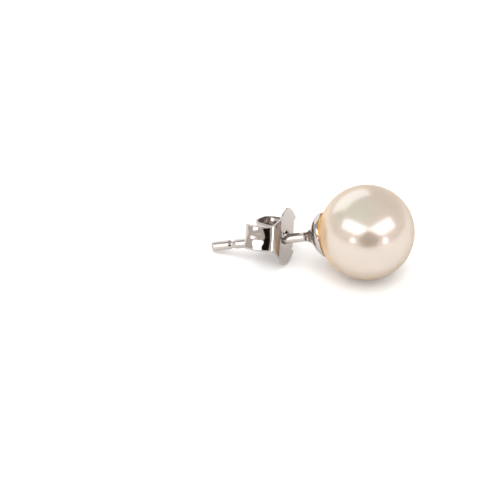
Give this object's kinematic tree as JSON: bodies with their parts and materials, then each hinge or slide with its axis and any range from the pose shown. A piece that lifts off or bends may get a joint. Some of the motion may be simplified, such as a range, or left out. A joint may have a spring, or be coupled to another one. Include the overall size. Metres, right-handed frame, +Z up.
{
  "type": "pearl stud earring",
  "caption": "Round pearl ear stud: a dished metal cup and straight grooved post behind the pearl, with a friction scroll back threaded on the post, lying at rest.",
  "frame": {"origin": "the middle of the stud's footprint on the surface that it lies on", "axes": "+X towards the pearl along the stud's length, +Z up from the surface; the post slopes down towards -X"},
  "size_m": [0.0184, 0.0086, 0.0085],
  "materials": {
    "pearl": "gloss",
    "adhesive": "gloss",
    "polished_metal": "polished"
  },
  "bodies": {
    "stud": {"pearl": "pearl", "glue_seam": "adhesive", "setting": "polished_metal"},
    "back": {"butterfly_back": "polished_metal"}
  },
  "joints": [
    {"name": "back_slide", "type": "slide", "parent": "stud", "child": "back", "axis": [-0.9632, 0, -0.2689], "range_m": [-0.0018, 0.0062]}
  ]
}
